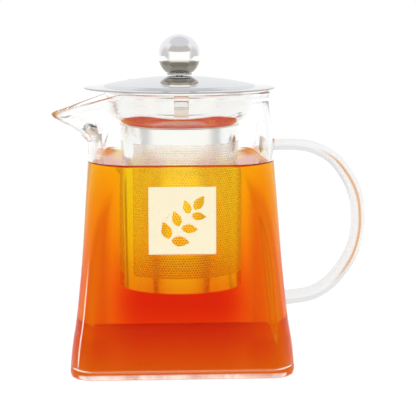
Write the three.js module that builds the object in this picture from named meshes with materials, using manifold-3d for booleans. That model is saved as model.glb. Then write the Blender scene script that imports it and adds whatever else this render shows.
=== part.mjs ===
// Glass teapot with a lift-out steel infuser and a steel lid. Millimetres, +Z up.
// The origin is the middle of the foot, on the table. The spout points along -X, the handle along +X.
import * as THREE from "three";
import Module from "manifold-3d";

const wasm = await Module();
wasm.setup();

// Overall sizes
const RIM_HEIGHT = 119.6; // table to the top of the glass rim
const FOOT_WIDTH = 95.4; // across the flats of the square foot
const MOUTH_DIAMETER = 80.4; // outside the rolled rim
const SPOUT_REACH = 57; // axis to the lip
const HANDLE_REACH = 84.3; // axis to the outside of the handle
const TUBE_DIAMETER = 53.9; // outside the mesh tube
const TUBE_LENGTH = 70.8;
const LID_OVERHANG = 2.05; // lid beyond the edge of the rim
const KNOB_DIAMETER = 18.8;
const LID_DIAMETER = MOUTH_DIAMETER + 2 * LID_OVERHANG;

// Thicknesses
const GLASS = 2.2; // wall of the jug
const FLOOR = 3.2; // glass under the tea
const ROD = 6.6; // handle rod, measured in its own plane
const STEEL = 0.6; // pressed sheet

// Fits
const REST_GAP = 0.3; // between pieces that rest on each other
const SKIRT_FIT = 0.7; // lid skirt inside the collar, all round
const SCREW_FIT = 0.3; // screw shank in its holes, all round

// Jug
const RIM_BEAD = 2.3; // height of the rolled rim
const RIM_FLARE = 0.7; // how far the rim stands out from the neck
const SQUARE_FOOT = 0.17 * RIM_HEIGHT; // the corners start to open here
const SQUARE_TOP = 0.97 * RIM_HEIGHT; // above this the jug is round
const ROUNDING = 4; // how late the corners open on the way up
const CORNER_SHARE = 0.16; // corner radius of the foot over its half width
const BUTTON_RADIUS = 14.5; // round pad in the middle of the underside
const RECESS = 0.8; // depth of the hollow between that pad and the foot
const LIP_RADIUS = 4; // spout tip seen from above
const LIP_DROP = 9.6; // lip below the rim
const KEEL_TOP = 11.3; // underside of the lip below the rim
const KEEL_FOOT = 22; // where the spout leaves the wall, below the rim
const SEGMENTS = 64;

// Infuser
const COLLAR_RADIUS = 0.412 * MOUTH_DIAMETER;
const COLLAR_DRAFT = 1.3; // how much narrower the collar is at its foot
const COLLAR_DEPTH = 11.5; // below the lid plane
const TUBE_TOP = 16.8; // top of the mesh tube below the lid plane
const SLOTS = 4;
const SLOT_WIDTH = 6.1;
const SLOT_HEIGHT = 7;
const FLANGE_OVERHANG = 0.6; // flange inside the edge of the rim
const WELD_LAP = 0.3; // gap between the tube and the pieces welded to it
const PAN_DEPTH = 3.2;

// Lid and knob
const LID_LIFT = REST_GAP + STEEL + REST_GAP + STEEL; // lid plane above the glass rim
const DOME_RADIUS = 0.395 * LID_DIAMETER;
const DOME_STEP = 0.9; // upright step round the dome
const DOME_RISE = 3.8; // from the step to the top of the dome
const VENT_RADIUS = 1.1;
const VENT_OFFSET = 0.66 * DOME_RADIUS;
const SKIRT_DEPTH = 8.2;
const SKIRT_BEAD = 1.1;
const SEAT_RADIUS = 0.3 * KNOB_DIAMETER;
const SEAT_HEIGHT = 0.9;
const BALL_CUT = 0.12 * KNOB_DIAMETER; // flat under the ball
const SCREW_RADIUS = 1.6;
const SCREW_HEAD_RADIUS = 3.2;
const SCREW_HEAD_HEIGHT = 1.9;
const WASHER_RADIUS = 4;
const WASHER_THICKNESS = 0.5;

const LID_PLANE = RIM_HEIGHT + LID_LIFT;
const FOOT_HALF = FOOT_WIDTH / 2;
const RIM_RADIUS = MOUTH_DIAMETER / 2;
const NECK_RADIUS = RIM_RADIUS - RIM_FLARE;
const TUBE_RADIUS = TUBE_DIAMETER / 2;

const ARC = Math.PI / 2;
const v2 = (r, z) => new THREE.Vector2(r, z);
const mix = (a, b, t) => a + (b - a) * t;
const smooth = (a, b, x) => THREE.MathUtils.smoothstep(x, a, b);

// ---------------------------------------------------------------- solids

function solid(geometry) {
  const flat = geometry.index ? geometry.toNonIndexed() : geometry;
  const position = flat.getAttribute("position");
  const seen = new Map();
  const points = [];
  const corners = [];
  for (let i = 0; i < position.count; i++) {
    const p = [position.getX(i), position.getY(i), position.getZ(i)];
    const key = p.map((c) => Math.round(c * 1e4)).join();
    if (!seen.has(key)) {
      seen.set(key, points.length / 3);
      points.push(...p);
    }
    corners.push(seen.get(key));
  }
  const triangles = [];
  for (let i = 0; i < corners.length; i += 3) {
    const [a, b, c] = corners.slice(i, i + 3);
    if (a !== b && b !== c && c !== a) triangles.push(a, b, c);
  }
  return new wasm.Manifold(
    new wasm.Mesh({
      numProp: 3,
      vertProperties: new Float32Array(points),
      triVerts: new Uint32Array(triangles),
    }),
  );
}

function named(name, made, colour, extra = {}) {
  const mesh = made.getMesh();
  const geometry = new THREE.BufferGeometry();
  geometry.setAttribute("position", new THREE.BufferAttribute(mesh.vertProperties, 3));
  geometry.setIndex(new THREE.BufferAttribute(mesh.triVerts, 1));
  geometry.computeVertexNormals();
  const material = new THREE.MeshStandardMaterial({ color: colour, ...extra });
  const node = new THREE.Mesh(geometry, material);
  node.name = name;
  return node;
}

// A lathe about +Z of a profile of (radius, height) points, run counter-clockwise in that plane.
function turned(profile, segments = 64) {
  return new THREE.LatheGeometry(profile, segments).rotateX(Math.PI / 2);
}

// The closed outline of a sheet: a run of points on its upper side and a thickness below or inside it.
function sheetProfile(run, thickness) {
  const under = run.map((p, i) => {
    const a = run[Math.max(i - 1, 0)];
    const b = run[Math.min(i + 1, run.length - 1)];
    const along = b.clone().sub(a).normalize();
    const normal = v2(along.y, -along.x);
    const q = p.clone().addScaledVector(normal, thickness);
    if (p.x === 0) q.x = 0;
    return q;
  });
  return [...run, ...under.reverse()];
}

function closed(points) {
  const last = points[points.length - 1];
  const onAxis = points[0].x === 0 && last.x === 0;
  return onAxis ? points : [...points, points[0].clone()];
}

// Turns a profile whichever way round it runs, so that the faces point out.
function lathe(points, segments = 64) {
  const ring = closed(points);
  const area = ring.reduce((sum, p, i) => {
    const q = ring[(i + 1) % ring.length];
    return sum + p.x * q.y - q.x * p.y;
  }, 0);
  return solid(turned(area > 0 ? ring : [...ring].reverse(), segments));
}

// ---------------------------------------------------------------- jug

// Half width of the outside of the jug at a height.
const wallCurve = new THREE.SplineCurve([
  v2(FOOT_HALF, 0.035 * RIM_HEIGHT),
  v2(FOOT_HALF - 1, 0.12 * RIM_HEIGHT),
  v2(mix(FOOT_HALF, RIM_RADIUS, 0.42), 0.24 * RIM_HEIGHT),
  v2(mix(FOOT_HALF, RIM_RADIUS, 0.77), 0.465 * RIM_HEIGHT),
  v2(mix(FOOT_HALF, RIM_RADIUS, 1.03), 0.745 * RIM_HEIGHT),
  v2(mix(FOOT_HALF, RIM_RADIUS, 1.05), 0.85 * RIM_HEIGHT),
  v2(NECK_RADIUS, RIM_HEIGHT - 1.6 * RIM_BEAD),
]);

function jugProfile() {
  const wall = wallCurve.getPoints(15);
  const top = RIM_HEIGHT;
  const bead = RIM_BEAD / 2;
  const inside = wall.map((p) => v2(p.x - GLASS, p.y)).reverse();
  const kept = inside.filter((p) => p.y > FLOOR + 3.5);
  const inner = FOOT_HALF - GLASS;
  return [
    v2(0, 0),
    v2(BUTTON_RADIUS, 0),
    v2(BUTTON_RADIUS + 1.5, RECESS),
    v2(0.6 * FOOT_HALF, RECESS),
    v2(FOOT_HALF - 9, RECESS),
    v2(FOOT_HALF - 6.5, 0),
    v2(FOOT_HALF - 3.2, 0),
    v2(FOOT_HALF - 1.3, 0.9),
    v2(FOOT_HALF - 0.3, 2.3),
    ...wall,
    v2(NECK_RADIUS + 0.1, top - RIM_BEAD),
    v2(RIM_RADIUS, top - bead),
    v2(RIM_RADIUS - 0.25, top - 0.4),
    v2(RIM_RADIUS - bead, top),
    v2(RIM_RADIUS - RIM_BEAD + 0.25, top - 0.4),
    v2(RIM_RADIUS - RIM_BEAD - 0.2, top - bead),
    v2(NECK_RADIUS - GLASS + 0.05, top - RIM_BEAD),
    ...kept,
    v2(inner - 0.5, FLOOR + 2.2),
    v2(inner - 1.6, FLOOR + 0.8),
    v2(inner - 3.6, FLOOR),
    v2(0.6 * FOOT_HALF, FLOOR),
    v2(0, FLOOR),
  ];
}

// Point at a share (0 on the flat, 1 on the diagonal) of an eighth of a rounded square.
function eighth(half, corner, share) {
  const flat = half - corner;
  const flatShare = 0.45 * (1 - corner / half);
  if (share < flatShare) return v2(half, (share / flatShare) * flat);
  const turn = ((share - flatShare) / (1 - flatShare)) * (Math.PI / 4);
  return v2(flat + corner * Math.cos(turn), flat + corner * Math.sin(turn));
}

// Point of a rounded square for a lathe angle.
function squarePoint(half, corner, angle) {
  const quarter = Math.round(angle / ARC);
  const offset = angle - quarter * ARC;
  const p = eighth(half, corner, Math.abs(offset) / (Math.PI / 4));
  if (offset < 0) p.y = -p.y;
  return p.rotateAround(v2(0, 0), quarter * ARC);
}

// Corner radius of the section through a profile point.
function cornerRadius(radius, height) {
  const climb = THREE.MathUtils.clamp((height - SQUARE_FOOT) / (SQUARE_TOP - SQUARE_FOOT), 0, 1);
  const upright = 1 - Math.pow(climb, ROUNDING);
  const outward = smooth(BUTTON_RADIUS + 2, 0.8 * FOOT_HALF, radius);
  return radius * (1 - upright * outward * (1 - CORNER_SHARE));
}

// The spout: each level is the outline round the wall circle and a small circle under the lip.
function spoutPoint(radius, tipRadius, reach, angle) {
  const centre = reach - tipRadius;
  if (reach <= radius + 0.01) return null;
  const limit = Math.acos((radius - tipRadius) / centre);
  const off = Math.abs(angle);
  if (off >= limit) return null;
  const share = off / limit;
  const tipShare = 0.42;
  let p;
  if (share < tipShare) {
    const a = (share / tipShare) * limit;
    p = v2(centre + tipRadius * Math.cos(a), tipRadius * Math.sin(a));
  } else {
    const from = v2(Math.cos(limit), Math.sin(limit)).multiplyScalar(tipRadius);
    from.x += centre;
    const to = v2(Math.cos(limit), Math.sin(limit)).multiplyScalar(radius);
    p = from.lerp(to, (share - tipShare) / (1 - tipShare));
  }
  return v2(-p.x, angle < 0 ? p.y : -p.y);
}

// How far the spout reaches at a height, for the outside (inset 0) or the inside of the glass.
function spoutReach(height, inset) {
  const foot = RIM_HEIGHT - KEEL_FOOT;
  const top = RIM_HEIGHT - KEEL_TOP;
  const t = THREE.MathUtils.clamp((height - foot) / (top - foot), 0, 1);
  const start = mix(FOOT_HALF, RIM_RADIUS, 1.04);
  const eased = t < 0.2 ? 2.5 * t * t : mix(0.1, 1, (t - 0.2) / 0.8);
  return mix(start, SPOUT_REACH, eased) - inset;
}

// 1 at the lip and 0 where the spout meets the round rim.
function lipShare(angle, limit) {
  const rim = spoutPoint(NECK_RADIUS, LIP_RADIUS, SPOUT_REACH, angle);
  const start = NECK_RADIUS * Math.cos(limit);
  return rim ? Math.max((-rim.x - start) / (SPOUT_REACH - start), 0) : 0;
}

// Moves each point of the round lathe to the square section, or to the spout above the bend.
function shapeJug(geometry, profile) {
  const position = geometry.getAttribute("position");
  const limit = Math.acos((NECK_RADIUS - LIP_RADIUS) / (SPOUT_REACH - LIP_RADIUS));
  const bend = RIM_HEIGHT - KEEL_FOOT - 4;
  const crest = profile.findIndex((p) => p.y === RIM_HEIGHT);
  for (let i = 0; i < position.count; i++) {
    const x = position.getX(i);
    const y = position.getY(i);
    let z = position.getZ(i);
    const row = i % profile.length;
    const radius = Math.hypot(x, y);
    if (radius < 1e-6) continue;
    let p = squarePoint(radius, cornerRadius(radius, z), Math.atan2(y, x));
    if (z > bend) {
      const angle = Math.atan2(-y, -x); // 0 at the spout
      const lift = (z - bend) / (RIM_HEIGHT - bend);
      z = mix(bend, RIM_HEIGHT - LIP_DROP * lipShare(angle, limit), lift);
      const nearRim = Math.abs(row - crest) <= 1 ? 0.3 * GLASS : 0;
      const inset = row === crest ? GLASS / 2 : row < crest ? nearRim : GLASS - nearRim;
      const q = spoutPoint(radius, LIP_RADIUS - inset, spoutReach(z, inset), angle);
      if (q) p.add(q).sub(v2(x, y));
    }
    position.setXYZ(i, p.x, p.y, z);
  }
  return geometry;
}

function jug() {
  const profile = jugProfile();
  return solid(shapeJug(turned(profile, SEGMENTS), profile));
}

// ---------------------------------------------------------------- handle

function handlePath() {
  const reach = HANDLE_REACH - ROD / 2;
  const root = mix(FOOT_HALF, RIM_RADIUS, 1.04);
  const low = mix(FOOT_HALF, RIM_RADIUS, 0.33);
  const h = RIM_HEIGHT;
  const out = (share) => mix(root, reach, share);
  return new THREE.CatmullRomCurve3(
    [
      [root + REST_GAP, 0.795],
      [out(0.1), 0.795],
      [out(0.32), 0.794],
      [out(0.51), 0.781],
      [out(0.72), 0.740],
      [out(0.88), 0.671],
      [out(0.97), 0.601],
      [out(1), 0.523],
      [out(0.992), 0.458],
      [out(0.942), 0.389],
      [out(0.84), 0.323],
      [out(0.68), 0.260],
      [out(0.48), 0.220],
      [low + 2.5, 0.205],
      [low + REST_GAP, 0.202],
    ].map(([x, z]) => new THREE.Vector3(x, 0, z * h)),
    false,
    "centripetal",
  );
}

// The rod is slimmer where it leaves the top of the jug and swells at both fused ends.
function rodScale(t) {
  const slim = mix(0.78, 1, smooth(0.1, 0.45, t));
  const swellTop = 1 + 0.35 * (1 - smooth(0, 0.05, t));
  const swellFoot = 1 + 0.3 * smooth(0.955, 1, t);
  return slim * swellTop * swellFoot;
}

function handle() {
  const steps = 46;
  const sides = 10;
  const shape = new THREE.Shape().absellipse(0, 0, 0.62 * ROD, ROD / 2, 0, 2 * Math.PI);
  const path = handlePath();
  const rod = new THREE.ExtrudeGeometry(shape, {
    steps,
    curveSegments: sides,
    extrudePath: path,
    bevelEnabled: false,
  });
  const position = rod.getAttribute("position");
  const samples = path.getSpacedPoints(240);
  const p = new THREE.Vector3();
  for (let i = 0; i < position.count; i++) {
    p.fromBufferAttribute(position, i);
    let best = 0;
    samples.forEach((s, k) => {
      if (s.distanceToSquared(p) < samples[best].distanceToSquared(p)) best = k;
    });
    const centre = samples[best];
    const scale = rodScale(best / 240);
    p.sub(centre).multiplyScalar(scale).add(centre);
    position.setXYZ(i, p.x, p.y, p.z);
  }
  return solid(rod);
}

// ---------------------------------------------------------------- infuser

const flangeTop = LID_PLANE - STEEL - REST_GAP;
const collarFoot = COLLAR_RADIUS - COLLAR_DRAFT;

function collarProfile() {
  const turn = flangeTop;
  const foot = LID_PLANE - COLLAR_DEPTH;
  const cone = LID_PLANE - TUBE_TOP;
  const seat = TUBE_RADIUS - STEEL - WELD_LAP;
  return sheetProfile(
    [
      v2(RIM_RADIUS - FLANGE_OVERHANG, turn),
      v2(COLLAR_RADIUS + 1.2, turn),
      v2(COLLAR_RADIUS + 0.15, turn - 0.45),
      v2(COLLAR_RADIUS - STEEL, turn - 1.6),
      v2(collarFoot - STEEL, foot + 1.8),
      v2(collarFoot - STEEL - 0.5, foot + 0.3),
      v2(collarFoot - STEEL - 1.6, foot - 0.9),
      v2(TUBE_RADIUS - 0.2, cone + 1.2),
      v2(seat - STEEL / 2, cone),
      v2(seat - STEEL, cone - 1.2),
      v2(seat - STEEL, cone - 3.4),
    ].reverse(),
    STEEL,
  );
}

// A tall opening with rounded corners through the collar, on the side that an angle faces.
function slot(angle) {
  const w = SLOT_WIDTH / 2;
  const h = SLOT_HEIGHT / 2;
  const r = 1.2;
  const shape = new THREE.Shape();
  shape.moveTo(-w, -h);
  shape.lineTo(w, -h);
  shape.lineTo(w, h - r);
  shape.absarc(w - r, h - r, r, 0, ARC);
  shape.absarc(r - w, h - r, r, ARC, Math.PI);
  const cutter = new THREE.ExtrudeGeometry(shape, {
    depth: 16,
    curveSegments: 4,
    bevelEnabled: false,
  });
  cutter.rotateX(ARC);
  cutter.translate(0, -COLLAR_RADIUS + 10, LID_PLANE - COLLAR_DEPTH + h);
  cutter.rotateZ(angle);
  return solid(cutter);
}

function collar() {
  let made = lathe(collarProfile(), 60);
  for (let i = 0; i < SLOTS; i++) made = made.subtract(slot((i * 2 * Math.PI) / SLOTS));
  return made;
}

function ringProfile(outer, inner, low, high) {
  return [v2(inner, low), v2(outer, low), v2(outer, high), v2(inner, high)];
}

function tube() {
  const top = LID_PLANE - TUBE_TOP - 0.2;
  return lathe(ringProfile(TUBE_RADIUS, TUBE_RADIUS - STEEL, top - TUBE_LENGTH, top), 72);
}

function pan() {
  const foot = LID_PLANE - TUBE_TOP - 0.2 - TUBE_LENGTH + 0.3;
  const outer = TUBE_RADIUS - STEEL - WELD_LAP;
  return lathe(
    sheetProfile(
      [
        v2(0, foot + STEEL + 0.5),
        v2(0.7 * outer, foot + STEEL + 0.5),
        v2(0.78 * outer, foot + STEEL),
        v2(outer - STEEL - 0.9, foot + STEEL),
        v2(outer - STEEL, foot + STEEL + 0.9),
        v2(outer - STEEL, foot + PAN_DEPTH),
      ],
      STEEL,
    ),
    56,
  );
}

// ---------------------------------------------------------------- lid and knob

const domeHeight = (r) => LID_PLANE + DOME_STEP + DOME_RISE * (1 - (r / DOME_RADIUS) ** 2);
const domeTop = domeHeight(0);
const boreRadius = SCREW_RADIUS + SCREW_FIT;

function cover() {
  const edge = LID_DIAMETER / 2;
  const run = [v2(0, domeTop)];
  for (let i = 1; i <= 7; i++) {
    const r = ((DOME_RADIUS - 1) * i) / 7;
    run.push(v2(r, domeHeight(r)));
  }
  run.push(
    v2(DOME_RADIUS - 0.1, LID_PLANE + DOME_STEP - 0.25),
    v2(DOME_RADIUS + 0.5, LID_PLANE + 0.1),
    v2(DOME_RADIUS + 1.6, LID_PLANE),
    v2(edge - 0.6, LID_PLANE),
    v2(edge, LID_PLANE - 0.25),
  );
  const sheet = lathe(sheetProfile(run, STEEL), 64);
  const hole = new THREE.CylinderGeometry(boreRadius, boreRadius, 20, 24).rotateX(ARC);
  hole.translate(0, 0, domeTop);
  const vent = new THREE.CylinderGeometry(VENT_RADIUS, VENT_RADIUS, 20, 20).rotateX(ARC);
  vent.translate(-VENT_OFFSET, 0, LID_PLANE);
  return sheet.subtract(solid(hole)).subtract(solid(vent));
}

// Cup that hangs under the lid with a rolled bead round its open foot.
function skirt() {
  const top = LID_PLANE - STEEL - REST_GAP;
  const outer = collarFoot - STEEL - SKIRT_FIT;
  const foot = LID_PLANE - SKIRT_DEPTH;
  const b = SKIRT_BEAD / 2;
  return lathe(
    [
      v2(outer - 4.5, top - STEEL),
      v2(outer - STEEL - 0.6, top - STEEL),
      v2(outer - STEEL, top - STEEL - 0.6),
      v2(outer - STEEL, foot + 2 * b),
      v2(outer - STEEL - 0.1, foot + b),
      v2(outer - STEEL, foot),
      v2(outer, foot),
      v2(outer + 0.3, foot + 0.4 * b),
      v2(outer + 0.35, foot + b),
      v2(outer + 0.3, foot + 1.6 * b),
      v2(outer, foot + 2 * b),
      v2(outer, top - 0.6),
      v2(outer - 0.6, top),
      v2(outer - 4.5, top),
    ],
    72,
  );
}

const seatFoot = domeTop + REST_GAP;
const ballFoot = seatFoot + SEAT_HEIGHT + REST_GAP;

function seat() {
  return lathe(
    [
      v2(boreRadius, seatFoot),
      v2(SEAT_RADIUS, seatFoot),
      v2(SEAT_RADIUS, seatFoot + SEAT_HEIGHT),
      v2(boreRadius, seatFoot + SEAT_HEIGHT),
    ],
    40,
  );
}

// Ball with a flat foot and a blind hole for the screw.
function ball() {
  const r = KNOB_DIAMETER / 2;
  const centre = ballFoot + r - BALL_CUT;
  const start = Math.asin((BALL_CUT - r) / r);
  const hole = ballFoot + 0.55 * r;
  const run = [v2(0, hole), v2(boreRadius, hole), v2(boreRadius, ballFoot)];
  const steps = 16;
  for (let i = 0; i <= steps; i++) {
    const a = mix(start, ARC, i / steps);
    run.push(v2(i === steps ? 0 : r * Math.cos(a), centre + r * Math.sin(a)));
  }
  return lathe(run, 40);
}

const lidUnder = domeTop - STEEL;
const washerTop = lidUnder - REST_GAP;
const headTop = washerTop - WASHER_THICKNESS - REST_GAP;

function washer() {
  return lathe(
    ringProfile(WASHER_RADIUS, boreRadius, washerTop - WASHER_THICKNESS, washerTop),
    32,
  );
}

function screw() {
  const tip = ballFoot + 0.55 * (KNOB_DIAMETER / 2) - 0.8;
  const foot = headTop - SCREW_HEAD_HEIGHT;
  const body = lathe(
    [
      v2(0, foot),
      v2(0.7 * SCREW_HEAD_RADIUS, foot),
      v2(SCREW_HEAD_RADIUS, foot + 0.45 * SCREW_HEAD_HEIGHT),
      v2(SCREW_HEAD_RADIUS, headTop),
      v2(SCREW_RADIUS, headTop),
      v2(SCREW_RADIUS, tip - 0.4),
      v2(SCREW_RADIUS - 0.4, tip),
      v2(0, tip),
    ],
    32,
  );
  let made = body;
  for (const turn of [0, ARC]) {
    const cut = new THREE.BoxGeometry(3.4, 0.8, 1.8).rotateZ(turn);
    cut.translate(0, 0, foot);
    made = made.subtract(solid(cut));
  }
  return made;
}

// ---------------------------------------------------------------- assembly

const glassLook = { roughness: 0.02, metalness: 0, transparent: true, opacity: 0.3 };
const steelLook = { roughness: 0.12, metalness: 1 };

const teapot = new THREE.Group();
teapot.name = "glass_teapot";
teapot.add(
  named("glass_body", jug(), "#e6f0ef", glassLook),
  named("handle", handle().subtract(jugBlock()), "#e6f0ef", glassLook),
  named("infuser_collar", collar(), "#c9cacc", steelLook),
  named("infuser_mesh", tube(), "#b9babc", { roughness: 0.3, metalness: 1 }),
  named("infuser_base", pan(), "#c4c5c7", steelLook),
  named("lid_cover", cover(), "#d6d7da", steelLook),
  named("lid_skirt", skirt(), "#c9cacc", steelLook),
  named("knob_seat", seat(), "#b5b6b8", steelLook),
  named("knob_ball", ball(), "#d9dadd", steelLook),
  named("knob_screw", screw(), "#a9aaac", steelLook),
  named("lock_washer", washer(), "#a9aaac", steelLook),
);

// The jug filled solid and grown by the rest gap: it trims the ends of the handle to the wall.
function jugBlock() {
  const wall = wallCurve.getPoints(15);
  const run = [
    v2(0, -1),
    v2(wall[0].x + REST_GAP, -1),
    ...wall.map((p) => v2(p.x + REST_GAP, p.y)),
    v2(0, wall[wall.length - 1].y),
  ];
  const grown = turned(run, SEGMENTS);
  const position = grown.getAttribute("position");
  for (let i = 0; i < position.count; i++) {
    const x = position.getX(i);
    const y = position.getY(i);
    const radius = Math.hypot(x, y);
    if (radius < 1e-6) continue;
    const height = Math.max(position.getZ(i), 0);
    const p = squarePoint(radius, cornerRadius(radius, height), Math.atan2(y, x));
    position.setXYZ(i, p.x, p.y, position.getZ(i));
  }
  return solid(grown);
}

export default teapot;
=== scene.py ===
"""Glass teapot with tea in it, a lift-out steel infuser and a steel lid, built round the CAD frame."""

import logging
import math
from collections.abc import Iterable
from dataclasses import dataclass, field
from enum import Enum

import bmesh
import bpy
from bmesh.types import BMEdge, BMesh, BMVert
from bpy.types import Material, Object
from bpy.types import NodeSocket as Socket
from mathutils import Matrix, Vector


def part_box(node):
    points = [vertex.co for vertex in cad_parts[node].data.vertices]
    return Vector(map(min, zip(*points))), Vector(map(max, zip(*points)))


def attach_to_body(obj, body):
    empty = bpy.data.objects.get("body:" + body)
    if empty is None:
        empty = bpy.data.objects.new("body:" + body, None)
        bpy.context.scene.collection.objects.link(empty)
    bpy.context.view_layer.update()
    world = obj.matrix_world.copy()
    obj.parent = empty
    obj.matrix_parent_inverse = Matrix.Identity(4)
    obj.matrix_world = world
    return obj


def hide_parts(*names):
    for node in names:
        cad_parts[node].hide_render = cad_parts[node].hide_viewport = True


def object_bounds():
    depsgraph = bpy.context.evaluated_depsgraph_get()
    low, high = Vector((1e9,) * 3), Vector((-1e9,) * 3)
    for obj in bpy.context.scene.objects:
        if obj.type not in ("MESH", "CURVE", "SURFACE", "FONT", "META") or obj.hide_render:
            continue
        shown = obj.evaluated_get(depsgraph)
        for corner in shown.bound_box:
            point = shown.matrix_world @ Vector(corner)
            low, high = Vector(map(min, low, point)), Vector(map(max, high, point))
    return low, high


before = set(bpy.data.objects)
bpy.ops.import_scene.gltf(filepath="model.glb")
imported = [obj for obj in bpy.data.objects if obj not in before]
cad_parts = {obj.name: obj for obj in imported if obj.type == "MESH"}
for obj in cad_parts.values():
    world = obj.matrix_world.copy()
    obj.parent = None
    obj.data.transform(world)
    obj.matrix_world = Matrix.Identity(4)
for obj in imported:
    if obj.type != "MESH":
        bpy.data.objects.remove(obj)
CAD_LOW, CAD_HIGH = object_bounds()

LOG = logging.getLogger("teapot")
MM = 0.001
TURN = 2 * math.pi
MERGE = 1e-6
SHEET_MERGE = 0.004 * MM

Colour = tuple[float, float, float]
Row = tuple[float, float, float]
Point = tuple[float, float]


class Body(Enum):
    """The rigid bodies that pieces ride on."""

    POT = "pot"
    INFUSER = "infuser"
    LID = "lid"


# ---------------------------------------------------------------- materials


class NodeTree:
    """A short way to fill a node tree."""

    def __init__(self, owner: bpy.types.ID) -> None:
        owner.use_nodes = True
        self.tree = owner.node_tree
        self.tree.nodes.clear()

    def add(self, kind: str, given: dict | None = None, **values: object) -> bpy.types.Node:
        """Adds a node.

        Args:
            kind: the node's type name after "ShaderNode".
            given: sockets to link and values to set, by input name or number.
            values: attributes of the node.

        Returns:
            The new node.
        """
        node = self.tree.nodes.new("ShaderNode" + kind)
        for key, value in values.items():
            setattr(node, key, value)
        for key, value in (given or {}).items():
            if isinstance(value, Socket):
                self.link(value, node.inputs[key])
            elif node.inputs[key].type == "RGBA":
                node.inputs[key].default_value = (*value, 1)
            else:
                node.inputs[key].default_value = value
        return node

    def link(self, source: Socket, target: Socket) -> None:
        """Joins an output to an input."""
        self.tree.links.new(source, target)

    def noise(self, scale: float, detail: float, stretch: Row) -> Socket:
        """Noise on Object coordinates.

        Args:
            scale: noise scale per metre.
            detail: number of octaves.
            stretch: scale of the coordinates along each axis.

        Returns:
            The noise value.
        """
        place = self.add("TexCoord").outputs["Object"]
        mapping = self.add("Mapping", {"Vector": place, "Scale": stretch})
        given = {"Vector": mapping.outputs["Vector"], "Scale": scale, "Detail": detail}
        return self.add("TexNoise", given).outputs["Fac"]

    def spread(self, value: Socket, low: float, high: float) -> Socket:
        """Maps the middle of a noise value to a range."""
        given = {"Value": value, "From Min": 0.3, "From Max": 0.7, "To Min": low, "To Max": high}
        return self.add("MapRange", given).outputs["Result"]

    def ramp(self, value: Socket, low: float, high: float) -> Socket:
        """A smooth ramp from 0 at low to 1 at high."""
        given = {"Value": value, "From Min": low, "From Max": high}
        return self.add("MapRange", given, interpolation_type="SMOOTHSTEP").outputs["Result"]

    def between(self, factor: Socket, low: object, high: object) -> Socket:
        """A number between two others, each a socket or a number."""
        return self.add("MapRange", {"Value": factor, "To Min": low, "To Max": high}).outputs["Result"]

    def blend(self, factor: Socket, under: object, over: object) -> Socket:
        """A colour between two others, each a socket or a colour."""
        return self.add("Mix", {0: factor, 6: under, 7: over}, data_type="RGBA").outputs[2]

    def value(self, operation: str, a: object, b: object = 0.0) -> Socket:
        """The result of a Math node on two sockets or numbers."""
        return self.add("Math", {0: a, 1: b}, operation=operation).outputs["Value"]

    def times(self, a: object, b: object) -> Socket:
        """The product of two sockets or numbers."""
        return self.value("MULTIPLY", a, b)

    def axes(self) -> tuple[Socket, ...]:
        """Object coordinates as three values."""
        split = self.add("SeparateXYZ", {"Vector": self.add("TexCoord").outputs["Object"]})
        return tuple(split.outputs[k] for k in "XYZ")

    def attribute(self, name: str) -> Socket:
        """A number stored on the mesh."""
        return self.add("Attribute", attribute_name=name).outputs["Fac"]

    def bump(self, height: Socket, strength: float, distance: float) -> Socket:
        """A bump normal from a height."""
        given = {"Height": height, "Strength": strength, "Distance": distance}
        return self.add("Bump", given).outputs["Normal"]

    def principled(self, given: dict) -> Socket:
        """A Principled shader."""
        return self.add("BsdfPrincipled", given).outputs["BSDF"]

    def light(self, colour: Colour, strength: float = 1.0) -> Socket:
        """A shader that only gives light."""
        return self.add("Emission", {"Color": colour, "Strength": strength}).outputs["Emission"]

    def coat(self, colour: Colour, glow: float) -> Socket:
        """A matt colour that also gives a little light."""
        given = {"Base Color": colour, "Roughness": 0.6, "Emission Color": colour}
        return self.principled({**given, "Emission Strength": glow})

    def over(self, under: Socket, top: Socket, factor: object) -> Socket:
        """Lays one shader over another.

        Args:
            under: the shader below.
            top: the shader above.
            factor: how much of the top one shows, a socket or a number.

        Returns:
            The mixed shader.
        """
        return self.add("MixShader", {0: factor, 1: under, 2: top}).outputs["Shader"]

    def finish(self, surface: Socket, volume: Socket | None = None) -> None:
        """Joins the shaders to a material's output."""
        given = {"Surface": surface} | ({"Volume": volume} if volume else {})
        self.add("OutputMaterial", given)


def clear(ior: float, tint: Colour, gloss: float, rough: Socket, normal: Socket) -> dict:
    """Inputs of a Principled shader for something light goes through."""
    return {
        "Base Color": tint,
        "IOR": ior,
        "Transmission Weight": 1.0,
        "Specular Tint": (gloss, gloss, gloss),
        "Roughness": rough,
        "Normal": normal,
    }


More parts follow.
